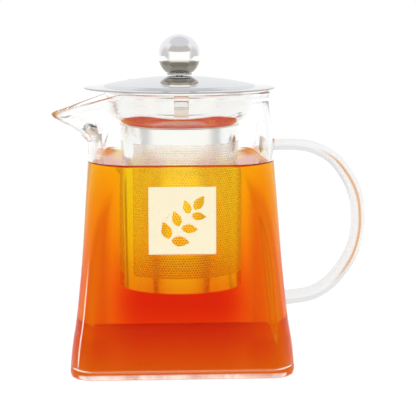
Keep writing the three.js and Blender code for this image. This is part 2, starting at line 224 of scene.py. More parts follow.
@dataclass(frozen=True)
class Glass:
    """Clear blown glass with faint waves, a painted amber glow where the mesh says the tea's colour shines
    through, a painted highlight where the mesh says, and a painted pale glow on the foot's edge if given.
    """

    name: str
    tint: Colour = (0.985, 0.992, 0.988)
    ior: float = 1.47
    wave: float = 0.02
    gloss: float = 0.08
    # Painted light: colour and glow strength of a coat laid where the tea's colour would shine along thick
    # glass edges.
    amber: Colour = (0.7, 0.3, 0.04)
    amber_glow: float = 0.2
    # Painted highlight: colour and glow strength of a pale coat laid where the mesh's streak attribute
    # says.
    highlight: Colour = (1.0, 0.98, 0.9)
    highlight_glow: float = 0.5
    milk: float = 0.0
    milk_colour: Colour = (0.8, 0.8, 0.79)
    foot: float = 0.0
    painted_foot_light_colour: Colour = (0.86, 0.83, 0.76)
    painted_foot_light_glow: float = 0.25
    painted_foot_light_cover: float = 0.8
    side: float = 0.0

    def make(self) -> Material:
        """Returns the material."""
        material = bpy.data.materials.new(self.name)
        tree = NodeTree(material)
        smear = tree.noise(90.0, 2.0, (1, 1, 0.6))
        normal = tree.bump(smear, self.wave, 0.4 * MM)
        rough = tree.spread(smear, 0.0, 0.012)
        surface = tree.principled(clear(self.ior, self.tint, self.gloss, rough, normal))
        if self.milk:
            surface = tree.over(surface, tree.coat(self.milk_colour, 0.0), self.milk)
        # Painted light: a pale glowing coat in streaks along the outer edge of the foot.
        if self.foot:
            streaks = tree.spread(tree.noise(140.0, 3.0, (1, 1, 0.4)), 0.35, 1.0)
            pale = tree.coat(self.painted_foot_light_colour, self.painted_foot_light_glow)
            surface = tree.over(surface, pale, tree.times(self.painted_foot_light_mask(tree), streaks))
        # Painted highlight: a glowing pale coat along the streak attribute.
        highlight = tree.coat(self.highlight, self.highlight_glow)
        surface = tree.over(surface, highlight, tree.attribute("streak"))
        # Painted light: a glowing amber coat where the mesh's amber attribute says.
        surface = tree.over(surface, tree.coat(self.amber, self.amber_glow), tree.attribute("amber"))
        tree.finish(surface)
        return material

    def painted_foot_light_mask(self, tree: NodeTree) -> Socket:
        """How much painted pale glow, standing for the table's light seen through the thick floor, lies on
        a place on the outer edge of the foot.
        """
        x, y, z = tree.axes()
        wide = tree.value("MAXIMUM", tree.value("ABSOLUTE", x), tree.value("ABSOLUTE", y))
        outside = tree.ramp(wide, self.side - 1.4 * MM, self.side - 0.6 * MM)
        low = tree.ramp(z, self.foot + 0.4 * MM, self.foot - 0.5 * MM)
        return tree.times(tree.times(low, outside), self.painted_foot_light_cover)


@dataclass(frozen=True)
class Tea:
    """Clear liquid that takes light out by colour as it goes through."""

    name: str
    ior: float = 1.333
    strong: float = 540.0
    sides: float = 225.0
    weak: float = 70.0
    bottom: float = 0.42
    edge: float = 0.45
    kept: Colour = (0.9914, 0.9, 0.0)
    gloss: float = 0.05
    haze: float = 0.24
    # Painted light: colour of a glow laid on the tea near its floor.
    painted_floor_glow: Colour = (0.72, 0.115, 0.002)
    painted_floor_glow_cover: float = 0.85
    # Painted light: colour of a glow laid on the tea in the far back corners.
    corner: Colour = (0.8, 0.27, 0.003)
    painted_corner_glow_cover: float = 0.55

    def make(self) -> Material:
        """Returns the material, with painted light: a glow for a table's light in the floor, and a glow for
        light in the far corners.
        """
        material = bpy.data.materials.new(self.name)
        tree = NodeTree(material)
        x, y, z = tree.axes()
        behind = tree.ramp(y, 0.0, 16 * MM)
        low = tree.times(tree.ramp(z, 24 * MM, 8 * MM), tree.ramp(y, -36 * MM, -28 * MM))
        under = tree.ramp(z, 4.5 * MM, 3.4 * MM)
        blurred = tree.value("MAXIMUM", tree.value("MAXIMUM", behind, low), under)
        ripple = tree.bump(tree.noise(60.0, 1.0, (1, 1, 1)), 0.01, 0.3 * MM)
        rough = tree.times(blurred, self.haze)
        surface = tree.principled(clear(self.ior, (1, 1, 1), self.gloss, rough, ripple))
        # Painted light: the tea glows red near its floor, standing for a table's light coming up.
        floor = tree.times(tree.ramp(z, 4.2 * MM, 3.2 * MM), self.painted_floor_glow_cover)
        surface = tree.over(surface, tree.light(self.painted_floor_glow), floor)
        # Painted light: the tea glows orange in the far back corners.
        wide = tree.ramp(tree.value("ABSOLUTE", x), 31 * MM, 37 * MM)
        back = tree.times(wide, tree.ramp(y, 5 * MM, 22 * MM))
        surface = tree.over(surface, tree.light(self.corner), tree.times(back, self.painted_corner_glow_cover))
        volume = tree.add("VolumeAbsorption", {"Density": self.strength(tree), "Color": self.kept})
        tree.finish(surface, volume.outputs["Volume"])
        return material

    def strength(self, tree: NodeTree) -> Socket:
        """Density of the tea: strongest low in the middle, weaker by the edges and round the basket.

        Args:
            tree: the material's nodes.

        Returns:
            The density per metre.
        """
        x, y, z = tree.axes()
        radius = tree.value("SQRT", tree.value("ADD", tree.times(x, x), tree.times(y, y)))
        wide = tree.value("ABSOLUTE", x)
        wall = tree.between(tree.ramp(z, 90 * MM, 40 * MM), 0.85 * self.sides, self.sides)
        inner = tree.between(tree.ramp(z, 84 * MM, 50 * MM), self.weak, 1.7 * self.weak)
        high = tree.between(tree.ramp(radius, 28 * MM, 37 * MM), inner, wall)
        foot = tree.between(tree.ramp(wide, 16 * MM, 36 * MM), self.strong, 0.95 * self.sides)
        whole = tree.between(tree.ramp(z, 60 * MM, 22 * MM), high, foot)
        whole = tree.between(tree.ramp(z, 24 * MM, 4 * MM), whole, self.bottom * self.strong)
        start = tree.between(tree.ramp(z, 90 * MM, 0.0), 32 * MM, 38 * MM)
        past = tree.ramp(tree.value("SUBTRACT", wide, start), 0.0, 7 * MM)
        return tree.between(past, whole, tree.times(whole, self.edge))


@dataclass(frozen=True)
class Steel:
    """Bare stainless steel with fine wear in its polish, a painted glow if given, and a painted dark
    reflection below a height if given.
    """

    name: str
    colour: Colour = (0.79, 0.785, 0.775)
    low: float = 0.05
    high: float = 0.12
    grain: float = 900.0
    stretch: Row = (1, 1, 1)
    relief: float = 0.02
    glow: float = 0.0
    shade: Colour | None = None
    shade_top: float = 0.0

    def make(self) -> Material:
        """Returns the material."""
        material = bpy.data.materials.new(self.name)
        tree = NodeTree(material)
        fine = tree.noise(self.grain, 3.0, self.stretch)
        colour: object = self.colour
        # Painted reflection: the colour turns darker below a height, standing for dark things mirrored in
        # the steel.
        if self.shade:
            edge = 0.15 * MM
            below = tree.ramp(tree.axes()[2], self.shade_top + edge, self.shade_top - edge)
            colour = tree.blend(below, self.colour, self.shade)
        steel = {
            "Metallic": 1.0,
            "Base Color": colour,
            # Painted light: the steel glows by its glow strength.
            "Emission Color": self.colour,
            "Emission Strength": self.glow,
            "Roughness": tree.spread(fine, self.low, self.high),
            "Normal": tree.bump(fine, self.relief, 0.1 * MM),
        }
        tree.finish(tree.principled(steel))
        return material


@dataclass(frozen=True)
class Print:
    """Cream ink fired on the glass, a little open to the light behind it, with a painted glow by its glow
    strength.
    """

    name: str
    colour: Colour = (0.85, 0.765, 0.54)
    clear: float = 0.1
    glow: float = 0.06

    def make(self) -> Material:
        """Returns the material."""
        material = bpy.data.materials.new(self.name)
        tree = NodeTree(material)
        grain = tree.noise(2500.0, 2.0, (1, 1, 1))
        ink = {
            "Base Color": self.colour,
            "Roughness": tree.spread(grain, 0.35, 0.5),
            # Painted light: the ink glows by its glow strength.
            "Emission Color": self.colour,
            "Emission Strength": self.glow,
            "Alpha": tree.spread(grain, 1 - 1.3 * self.clear, 1 - 0.7 * self.clear),
        }
        tree.finish(tree.principled(ink))
        return material


# ---------------------------------------------------------------- mesh tools


def smoothstep(low: float, high: float, x: float) -> float:
    """The usual smooth ramp from 0 at low to 1 at high."""
    t = min(max((x - low) / (high - low), 0.0), 1.0)
    return t * t * (3 - 2 * t)


def mix(a: float, b: float, t: float) -> float:
    """A value between a and b."""
    return a + (b - a) * t


def catmull(points: list[tuple[float, ...]], divisions: int) -> list[Vector]:
    """A uniform Catmull-Rom curve through points.

    Args:
        points: at least two points.
        divisions: steps over the whole curve.

    Returns:
        divisions + 1 points.
    """
    ps = [Vector(p) for p in points]
    out = []
    for i in range(divisions + 1):
        place = i / divisions * (len(ps) - 1)
        k = min(int(place), len(ps) - 2)
        t = place - k
        p0, p1, p2, p3 = ps[max(k - 1, 0)], ps[k], ps[k + 1], ps[min(k + 2, len(ps) - 1)]
        out.append(
            0.5
            * (
                2 * p1
                + (p2 - p0) * t
                + (2 * p0 - 5 * p1 + 4 * p2 - p3) * t * t
                + (3 * p1 - p0 - 3 * p2 + p3) * t**3
            )
        )
    return out


def rounded(points: list[Point], radius: float, steps: int = 4) -> list[Point]:
    """An outline whose inner corners are turned into short arcs.

    Args:
        points: corners of an open outline, as (radius, height).
        radius: length taken off each side of a corner, at most.
        steps: pieces in each arc.

    Returns:
        The softened outline.
    """
    ps = [Vector(p) for p in points]
    out = [ps[0]]
    for before, corner, after in zip(ps, ps[1:], ps[2:]):
        a, b = before - corner, after - corner
        cut = min(radius, 0.45 * a.length, 0.45 * b.length)
        start, end = corner + a.normalized() * cut, corner + b.normalized() * cut
        for i in range(steps + 1):
            t = i / steps
            out.append(start * (1 - t) ** 2 + corner * 2 * t * (1 - t) + end * t * t)
    out.append(ps[-1])
    return [tuple(p) for p in out]


def spun(outline: Iterable[Point], steps: int, closed: bool = False) -> BMesh:
    """An outline of (radius, height) spun round Z.

    Args:
        outline: the points.
        steps: steps in the full turn.
        closed: whether the last point joins the first.

    Returns:
        A bmesh.
    """
    bm = bmesh.new()
    verts = [bm.verts.new((r, 0, z)) for r, z in outline]
    edges = [bm.edges.new(pair) for pair in zip(verts, verts[1:])]
    if closed:
        edges.append(bm.edges.new((verts[-1], verts[0])))
    spin(bm, verts + edges, steps)
    return bm


def spin(bm: BMesh, geom: list, steps: int) -> None:
    """Spins geometry once round Z and closes the seam."""
    bmesh.ops.spin(bm, geom=geom, cent=(0, 0, 0), axis=(0, 0, 1), angle=TURN, steps=steps, use_merge=True)
    bmesh.ops.remove_doubles(bm, verts=bm.verts, dist=MERGE)
    bmesh.ops.recalc_face_normals(bm, faces=bm.faces)


def sheet(outline: list[Point], thickness: float) -> list[Point]:
    """The closed outline of a sheet whose one side is the outline."""
    ps = [Vector(p) for p in outline]
    under = []
    for i, p in enumerate(ps):
        along = (ps[min(i + 1, len(ps) - 1)] - ps[max(i - 1, 0)]).normalized()
        q = p + Vector((along.y, -along.x)) * thickness
        under.append((0.0 if p.x < MERGE else q.x, q.y))
    return [tuple(p) for p in ps] + under[::-1]


def finished(name: str, bm: BMesh, material: Material, sharp: float = 35.0) -> Object:
    """Turns a bmesh into a smooth-shaded object with sharp edges where it bends hard.

    Args:
        name: the piece's name.
        bm: the mesh, which is freed.
        material: the finish.
        sharp: degrees above which an edge stays sharp.

    Returns:
        The object, at the origin.
    """
    for face in bm.faces:
        face.smooth = True
    for edge in bm.edges:
        if len(edge.link_faces) == 2 and edge.calc_face_angle(0.0) > math.radians(sharp):
            edge.smooth = False
    mesh = bpy.data.meshes.new(name)
    bm.to_mesh(mesh)
    bm.free()
    mesh.materials.append(material)
    made = bpy.data.objects.new(name, mesh)
    bpy.context.scene.collection.objects.link(made)
    return made


def cut(piece: Object, cutters: list[BMesh]) -> None:
    """Takes closed meshes out of a piece and keeps the result as its mesh."""
    for i, cutter in enumerate(cutters):
        tool = finished(f"cutter_{i}", cutter, piece.data.materials[0])
        modifier = piece.modifiers.new("cut", "BOOLEAN")
        modifier.operation, modifier.solver, modifier.object = "DIFFERENCE", "EXACT", tool
        bake(piece)
        bpy.data.objects.remove(tool)


def bake(piece: Object) -> None:
    """Applies a piece's modifiers to its mesh."""
    graph = bpy.context.evaluated_depsgraph_get()
    old = piece.data
    made = bpy.data.meshes.new_from_object(piece.evaluated_get(graph), depsgraph=graph)
    made.name = old.name
    piece.modifiers.clear()
    piece.data = made
    bpy.data.meshes.remove(old)


def attach(piece: Object, body: Body, slot: str, *nodes: str) -> None:
    """Ties a piece to its body and hides the CAD nodes it stands for.

    Args:
        piece: the finished piece.
        body: the body it moves with.
        slot: not used.
        nodes: CAD nodes that it replaces.
    """
    if nodes:
        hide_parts(*nodes)
    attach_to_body(piece, body.value)
    LOG.info("%s: %d faces", piece.name, len(piece.data.polygons))


# ---------------------------------------------------------------- jug


@dataclass
class JugShape:
    """Outside and inside of the jug: a square foot that turns round at the mouth, and a spout."""

    rim_height: float
    foot_half: float
    rim_radius: float
    reach: float
    glass: float = 2.2 * MM
    floor: float = 3.2 * MM
    bead: float = 2.3 * MM
    flare: float = 0.7 * MM
    corner_share: float = 0.16
    button: float = 14.5 * MM
    recess: float = 0.8 * MM
    lip_radius: float = 4 * MM
    lip_drop: float = 9.6 * MM
    keel_top: float = 11.3 * MM
    keel_foot: float = 22 * MM
    lean: tuple[Point, ...] = ((0.42, 0.24), (0.77, 0.465), (1.03, 0.745), (1.05, 0.85))
    root_share: float = 1.04
    square_foot: float = 0.17
    square_top: float = 0.97
    rounding: float = 4
    tip_share: float = 0.42
    wall: list[Vector] = field(init=False)

    def __post_init__(self) -> None:
        """Works out the wall's outline from its foot, its lean up the way and its neck."""
        self.neck = self.rim_radius - self.flare
        self.root = mix(self.foot_half, self.rim_radius, self.root_share)
        self.wall = catmull(
            [
                (self.foot_half, 0.035 * self.rim_height),
                (self.foot_half - 1 * MM, 0.12 * self.rim_height),
                *((mix(self.foot_half, self.rim_radius, w), h * self.rim_height) for w, h in self.lean),
                (self.neck, self.rim_height - 1.6 * self.bead),
            ],
            48,
        )

    def half(self, height: float) -> float:
        """Half width of the outside at a height."""
        for a, b in zip(self.wall, self.wall[1:]):
            if height <= b.y:
                return mix(a.x, b.x, max((height - a.y) / (b.y - a.y), 0.0))
        return self.neck

    def corner(self, radius: float, height: float) -> float:
        """Corner radius of the section through a point of the outline."""
        foot, top = self.square_foot * self.rim_height, self.square_top * self.rim_height
        upright = 1 - min(max((height - foot) / (top - foot), 0.0), 1.0) ** self.rounding
        outward = smoothstep(self.button + 2 * MM, 0.8 * self.foot_half, radius)
        return radius * (1 - upright * outward * (1 - self.corner_share))

    def square(self, radius: float, height: float, angle: float) -> Vector:
        """Place on the rounded square of a lathe point."""
        quarter = round(angle / (math.pi / 2))
        offset = angle - quarter * math.pi / 2
        share = abs(offset) / (math.pi / 4)
        corner = self.corner(radius, height)
        flat = radius - corner
        flat_share = 0.45 * (1 - corner / radius)
        if share < flat_share:
            p = Vector((radius, share / flat_share * flat))
        else:
            turn = (share - flat_share) / (1 - flat_share) * math.pi / 4
            p = Vector((flat + corner * math.cos(turn), flat + corner * math.sin(turn)))
        if offset < 0:
            p.y = -p.y
        p.rotate(Matrix.Rotation(quarter * math.pi / 2, 2))
        return p

    def spout(self, radius: float, tip: float, reach: float, angle: float) -> Vector | None:
        """Place on the outline round the wall and a small circle under the lip, or None off the spout."""
        centre = reach - tip
        if reach <= radius + 0.01 * MM:
            return None
        limit = math.acos(min((radius - tip) / centre, 1.0))
        off = abs(angle)
        if off >= limit:
            return None
        share, tip_share = off / limit, self.tip_share
        if share < tip_share:
            a = share / tip_share * limit
            p = Vector((centre + tip * math.cos(a), tip * math.sin(a)))
        else:
            way = Vector((math.cos(limit), math.sin(limit)))
            start = way * tip + Vector((centre, 0))
            p = start.lerp(way * radius, (share - tip_share) / (1 - tip_share))
        return Vector((-p.x, p.y if angle < 0 else -p.y))

    def spout_reach(self, height: float, inset: float) -> float:
        """How far the spout comes at a height."""
        foot, top = self.rim_height - self.keel_foot, self.rim_height - self.keel_top
        t = min(max((height - foot) / (top - foot), 0.0), 1.0)
        eased = 2.5 * t * t if t < 0.2 else mix(0.1, 1.0, (t - 0.2) / 0.8)
        return mix(self.root, self.reach, eased) - inset

    def lip_share(self, angle: float) -> float:
        """1 at the lip and 0 where the spout meets the round rim."""
        limit = math.acos((self.neck - self.lip_radius) / (self.reach - self.lip_radius))
        start = self.neck * math.cos(limit)
        rim = self.spout(self.neck, self.lip_radius, self.reach, angle)
        return max((-rim.x - start) / (self.reach - start), 0.0) if rim else 0.0

    def place(self, p: Vector, inset: float) -> Vector:
        """Moves a point of the round lathe to its place in the jug."""
        radius, z = math.hypot(p.x, p.y), p.z
        if radius < MERGE:
            return p.copy()
        q = self.square(radius, z, math.atan2(p.y, p.x))
        bend = self.rim_height - self.keel_foot - 4 * MM
        if z > bend:
            angle = math.atan2(-p.y, -p.x)
            lift = (z - bend) / (self.rim_height - bend)
            z = mix(bend, self.rim_height - self.lip_drop * self.lip_share(angle), lift)
            out = self.spout(radius, self.lip_radius - inset, self.spout_reach(z, inset), angle)
            if out:
                q = q + out - p.xy
        return Vector((q.x, q.y, z))

    def front(self, x: float, z: float) -> float:
        """Y of the front of the jug."""
        half = self.half(z)
        corner = self.corner(half, z)
        over = max(abs(x) - (half - corner), 0.0)
        return -(half - corner + math.sqrt(corner**2 - over**2))


@dataclass
class Jug:
    """The glass jug, its handle, its print and the tea in it."""

    shape: JugShape
    steps: int = 240
    tea_level: float = 89.4 * MM
    tea_overlap: float = 0.25 * MM
    meniscus: float = 1.3 * MM
    easing: int = 26
    streak_angle: float = -128.0
    streak_width: float = 1.2

    def outline(self) -> list[Row]:
        """Closed outline of the glass as (radius, height, inset from the outside)."""
        s, mm = self.shape, MM
        top, bead, inner = s.rim_height, s.bead / 2, s.foot_half - s.glass
        foot = rounded(
            [
                (0.0, 0.0),
                (s.button, 0.0),
                (s.button + 1.5 * mm, s.recess),
                (s.foot_half - 9 * mm, s.recess),
                (s.foot_half - 6.5 * mm, 0.0),
                (s.foot_half - 2.8 * mm, 0.0),
                (s.foot_half - 0.1 * mm, 1.4 * mm),
                (s.foot_half, 4.1 * mm),
            ],
            1.6 * mm,
        )[:-1]
        centre = (s.rim_radius - bead, top - bead)
        arc = []
        for i in range(13):
            a = mix(-0.35, math.pi + 0.35, i / 12)
            arc.append((centre[0] + bead * math.cos(a), centre[1] + bead * math.sin(a)))
        inside = [(p.x - s.glass, p.y) for p in s.wall if p.y > s.floor + 4 * mm][::-1]
        floor = rounded(
            [
                (inner, s.floor + 4 * mm),
                (inner, s.floor + 1.6 * mm),
                (inner - 1.6 * mm, s.floor),
                (0.5 * s.foot_half, s.floor),
                (0.0, s.floor),
            ],
            2.4 * mm,
        )[1:]
        rows = [(r, z, 0.0) for r, z in foot]
        rows += [(p.x, p.y, 0.0) for p in s.wall]
        rows += [(r, z, mix(0.0, s.glass, i / 12)) for i, (r, z) in enumerate(arc)]
        rows += [(r, z, s.glass) for r, z in inside]
        rows += [(r, z, s.glass) for r, z in floor]
        return rows

    def shaped(self, rows: list[Row]) -> BMesh:
        """Spins rows and moves the result to the jug's section."""
        bm = bmesh.new()
        inset = bm.verts.layers.float.new("inset")
        verts = []
        for r, z, depth in rows:
            v = bm.verts.new((r, 0, z))
            v[inset] = depth
            verts.append(v)
        edges = [bm.edges.new(pair) for pair in zip(verts, verts[1:])]
        spin(bm, verts + edges, self.steps)
        amber = bm.verts.layers.float.new("amber")
        streak = bm.verts.layers.float.new("streak")
        # The streak attribute holds painted highlights and the amber attribute a painted amber glow, both
        # on the outside of the glass only.
        for v in bm.verts:
            outside = v[inset] < 0.5 * self.shape.glass
            v[streak] = self.streak(v.co) if outside else 0.0
            v.co = self.shape.place(v.co, v[inset])
            v[amber] = self.amber(v.co) if outside else 0.0
            v[streak] = max(v[streak], self.painted_keel_glow(v.co)) if outside else 0.0
        self.soften_keel(bm)
        return bm

    def painted_keel_glow(self, p: Vector) -> float:
        """How strong the painted pale glow on the thick glass at the foot of the keel is at a point."""
        s = self.shape
        if p.x > -0.85 * s.rim_radius:
            return 0.0
        up = (p.z - (s.rim_height - s.keel_foot) - 3.5 * MM) / (4 * MM)
        return 0.9 * math.exp(-(up**2) - (p.y / (9 * MM)) ** 2)

    def soften_keel(self, bm: BMesh) -> None:
        """Eases the foot of the keel into the wall, on both sides of the glass."""
        s = self.shape
        foot = s.rim_height - s.keel_foot
        low, high = foot - 8 * MM, foot + 9 * MM
        near = [v for v in bm.verts if v.co.x < -0.75 * s.rim_radius and low < v.co.z < high]
        near = [v for v in near if abs(v.co.y) < 14 * MM]
        axes = {f"use_axis_{k}": True for k in "xyz"}
        for _ in range(self.easing):
            bmesh.ops.smooth_vert(bm, verts=near, factor=0.5, **axes)

    def streak(self, p: Vector) -> float:
        """How strong the painted highlight line down the front left corner is at a point of the lathe."""
        off = (math.degrees(math.atan2(p.y, p.x)) - self.streak_angle) / self.streak_width
        high = smoothstep(4 * MM, 10 * MM, p.z) * (1 - smoothstep(30 * MM, 56 * MM, p.z))
        outside = math.hypot(p.x, p.y) > self.shape.rim_radius
        return 0.8 * math.exp(-(off**2)) * high * outside

    def amber(self, p: Vector) -> float:
        """How much painted amber glow, standing for the tea's colour in the thick edges of the spout, lies
        at a point.
        """
        s = self.shape
        if p.x > -s.rim_radius:
            return 0.0
        share = min((-p.x - s.rim_radius) / (s.reach - s.rim_radius), 1.0)
        keel = math.exp(-((p.y / (mix(1.4, 2.6, share) * MM)) ** 2)) * smoothstep(0.0, 0.03, share)
        rim = s.rim_height - s.lip_drop * share
        lip = math.exp(-(((p.z - rim + 1.0 * MM) / (1.8 * MM)) ** 2)) * smoothstep(-0.2, 0.5, share)
        return max(0.95 * keel, 0.6 * lip)

    def tea_rows(self) -> list[Row]:
        """Outline of the tea, a hair wider than the inside of the glass."""
        s, mm = self.shape, MM
        grow = self.tea_overlap
        inner = s.foot_half - s.glass + grow
        low = s.floor - grow
        rows = rounded(
            [
                (0.0, low),
                (0.5 * s.foot_half, low),
                (inner - 1.6 * mm, low),
                (inner, low + 1.6 * mm),
                (inner, low + 4 * mm),
            ],
            2.4 * mm,
        )[:-1]
        rows += [(p.x - s.glass + grow, p.y) for p in s.wall if low + 4 * mm < p.y < self.tea_level]
        edge = s.half(self.tea_level) - s.glass + grow
        climb = 9
        for i in range(climb + 1):
            out = i / climb * 3.6 * mm
            rows.append((edge - out, self.tea_level + self.meniscus * math.exp(-out / (0.9 * mm))))
        rows.append((0.0, self.tea_level))
        return [(r, z, 0.0) for r, z in rows]

    def build(self) -> None:
        """Makes the pieces that ride on the pot."""
        clear = Glass("clear_glass", foot=self.shape.floor, side=self.shape.foot_half).make()
        glass = finished("jug_glass", self.shaped(self.outline()), clear, 60.0)
        attach(glass, Body.POT, "jug_glass", "glass_body")
        tea = finished("tea", self.shaped(self.tea_rows()), Tea("black_tea").make(), 40.0)
        attach(tea, Body.POT, "")
        Handle(self.shape).build(Glass("rod_glass", tint=(0.965, 0.965, 0.96), wave=0.01, milk=0.12).make())
        # Painted light: the back of the print is a cream ground that glows at full strength.
        back = Print("cream_ground_painted_glow", colour=(1.0, 0.97, 0.85), clear=0.0, glow=1.0).make()
        Panel(self.shape).build(Print("cream_print").make(), back)


@dataclass
class Handle:
    """A bent glass rod fused to the jug at both ends."""

    shape: JugShape
    thick: float = 6.6 * MM
    wide: float = 1.24
    rings: int = 160
    sides: int = 40
    bury: float = 0.25 * MM
    low_share: float = 0.33
    line_place: float = -0.08
    line_width: float = 0.17

    def path(self) -> list[Vector]:
        """Centreline of the rod, from its top end to its foot."""
        s = self.shape
        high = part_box("handle")[1]
        reach = high.x - self.thick / 2
        root, low = s.root, mix(s.foot_half, s.rim_radius, self.low_share)
        places = [
            (root - self.bury, 0.795),
            *(
                (mix(root, reach, out), up)
                for out, up in (
                    (0.1, 0.795),
                    (0.32, 0.794),
                    (0.51, 0.781),
                    (0.72, 0.740),
                    (0.88, 0.671),
                    (0.97, 0.601),
                    (1.0, 0.523),
                    (0.992, 0.458),
                    (0.942, 0.389),
                    (0.84, 0.323),
                    (0.68, 0.260),
                    (0.48, 0.220),
                )
            ),
            (low + 2.5 * MM, 0.205),
            (low - self.bury, 0.202),
        ]
        return catmull([(x, 0.0, up * s.rim_height) for x, up in places], self.rings)

    def swell(self, t: float) -> float:
        """Thickness of the rod along it, over its full thickness."""
        slim = mix(0.78, 1.0, smoothstep(0.1, 0.45, t))
        return slim * (1 + 0.4 * (1 - smoothstep(0.0, 0.06, t))) * (1 + 0.35 * smoothstep(0.945, 1.0, t))

    def build(self, glass: Material) -> None:
        """Extrudes a circle along the centreline and closes both ends."""
        path = self.path()
        bm = bmesh.new()
        ring = bmesh.ops.create_circle(bm, segments=self.sides, radius=1.0)["verts"]
        bmesh.ops.transform(bm, matrix=self.frame_at(path, 0), verts=ring)
        first = edges = list(bm.edges)
        for i in range(1, len(path)):
            made = bmesh.ops.extrude_edge_only(bm, edges=edges)["geom"]
            edges = [g for g in made if isinstance(g, BMEdge)]
            verts = [g for g in made if isinstance(g, BMVert)]
            step = self.frame_at(path, i) @ self.frame_at(path, i - 1).inverted()
            bmesh.ops.transform(bm, matrix=step, verts=verts)
        for loop in (first, edges):
            bmesh.ops.edgeloop_fill(bm, edges=loop)
        bmesh.ops.recalc_face_normals(bm, faces=bm.faces)
        # Painted light: an amber glow along the rod, standing for the tea's colour seen in the glass.
        amber = bm.verts.layers.float.new("amber")
        for v in bm.verts:
            v[amber] = self.amber(path, v.co)
        attach(finished("handle_rod", bm, glass, 50.0), Body.POT, "handle_glass", "handle")

    def amber(self, path: list[Vector], p: Vector) -> float:
        """How much painted amber glow, standing for tea colour seen in the rod, lies at a point: a line
        inside the outer curve and a spot at the root.
        """
        i = min(range(len(path)), key=lambda k: (path[k] - p).length_squared)
        t = i / (len(path) - 1)
        local = self.frame_at(path, i).inverted() @ p
        front = smoothstep(0.0, 0.3, -local.y)
        line = math.exp(-(((local.x - self.line_place) / self.line_width) ** 2)) * front
        reach = smoothstep(0.2, 0.32, t) * (1 - smoothstep(0.68, 0.8, t))
        return max(line * reach, 0.8 * (1 - smoothstep(0.004, 0.028, t)))

    def frame_at(self, path: list[Vector], i: int) -> Matrix:
        """Place, turn and size of the rod's section at a point of the path."""
        along = (path[min(i + 1, len(path) - 1)] - path[max(i - 1, 0)]).normalized()
        side = Vector((0, 1, 0))
        out = side.cross(along)
        radius = self.thick / 2 * self.swell(i / (len(path) - 1))
        turn = Matrix((out, side, along)).transposed().to_4x4()
        return Matrix.Translation(path[i]) @ turn @ Matrix.Diagonal((radius, radius * self.wide, 1, 1))


@dataclass
class Panel:
    """A square print on the front of the jug with a sprig left open in it."""

    shape: JugShape
    side: float = 28.2 * MM
    centre: float = 67.8 * MM
    gap: float = 0.04 * MM
    thickness: float = 0.05 * MM
    leaf_length: float = 7.6 * MM
    leaf_width: float = 4.3 * MM
    leaf_points: int = 28
    slices: int = 18

    def leaf(self, at: Vector, angle: float, size: float) -> list[Vector]:
        """Outline of a pointed leaf that starts at a point."""
        way = Vector((math.cos(angle), math.sin(angle)))
        side = Vector((-way.y, way.x))
        out = []
        for i in range(self.leaf_points):
            t = i / self.leaf_points
            along = t * 2 if t < 0.5 else 2 - 2 * t
            half = 0.5 * self.leaf_width * math.sin(math.pi * along**0.8) ** 0.9
            sign = 1 if t < 0.5 else -1
            out.append(at + size * (way * along * self.leaf_length + side * sign * half))
        return out

    def sprig(self) -> list[list[Vector]]:
        """Outlines of the leaves: pairs up a leaning stem and one at its end."""
        leaves = []
        for i in range(3):
            at = Vector((mix(-5.2, 3.2, i / 2), mix(-8.2, 2.2, i / 2))) * MM
            lean = math.radians(52)
            for sign in (-1, 1):
                angle = lean + sign * math.radians(58)
                nudge = Vector((math.cos(angle), math.sin(angle))) * 0.7 * MM
                leaves.append(self.leaf(at + nudge, angle, 1.0 - 0.1 * i))
        leaves.append(self.leaf(Vector((5.0, 4.6)) * MM, math.radians(54), 0.92))
        return leaves

    def build(self, ink: Material, ground: Material) -> None:
        """Fills the outline, slices it so that it can bend, and lays it on the wall."""
        h = self.side / 2
        corners = [Vector(p) for p in ((-h, -h), (h, -h), (h, h), (-h, h))]
        curve = bpy.data.curves.new("panel", "CURVE")
        curve.dimensions, curve.fill_mode = "2D", "BOTH"
        for loop in [corners, *self.sprig()]:
            spline = curve.splines.new("POLY")
            spline.points.add(len(loop) - 1)
            for point, p in zip(spline.points, loop):
                point.co = (p.x, p.y, 0, 1)
            spline.use_cyclic_u = True
        outline = bpy.data.objects.new("panel_outline", curve)
        bpy.context.scene.collection.objects.link(outline)
        graph = bpy.context.evaluated_depsgraph_get()
        flat = bpy.data.meshes.new_from_object(outline.evaluated_get(graph), depsgraph=graph)
        bpy.data.objects.remove(outline)
        bm = bmesh.new()
        bm.from_mesh(flat)
        bmesh.ops.remove_doubles(bm, verts=bm.verts, dist=MERGE)
        for axis in (Vector((1, 0, 0)), Vector((0, 1, 0))):
            for i in range(1, self.slices):
                at = axis * mix(-h, h, i / self.slices)
                geom = [*bm.verts, *bm.edges, *bm.faces]
                bmesh.ops.bisect_plane(bm, geom=geom, plane_co=at, plane_no=axis, dist=1e-7)
        for v in bm.verts:
            x, z = v.co.x, self.centre + v.co.y
            v.co = Vector((x, self.shape.front(x, z) - self.gap, z))
        bmesh.ops.recalc_face_normals(bm, faces=bm.faces)
        bmesh.ops.solidify(bm, geom=bm.faces, thickness=self.thickness)
        bmesh.ops.recalc_face_normals(bm, faces=bm.faces)
        for face in bm.faces:
            # Faces towards the back take the glowing ground: painted light.
            face.material_index = int(face.normal.y > 0.5)
        piece = finished("front_print", bm, ink)
        piece.data.materials.append(ground)
        attach(piece, Body.POT, "")


# ---------------------------------------------------------------- infuser


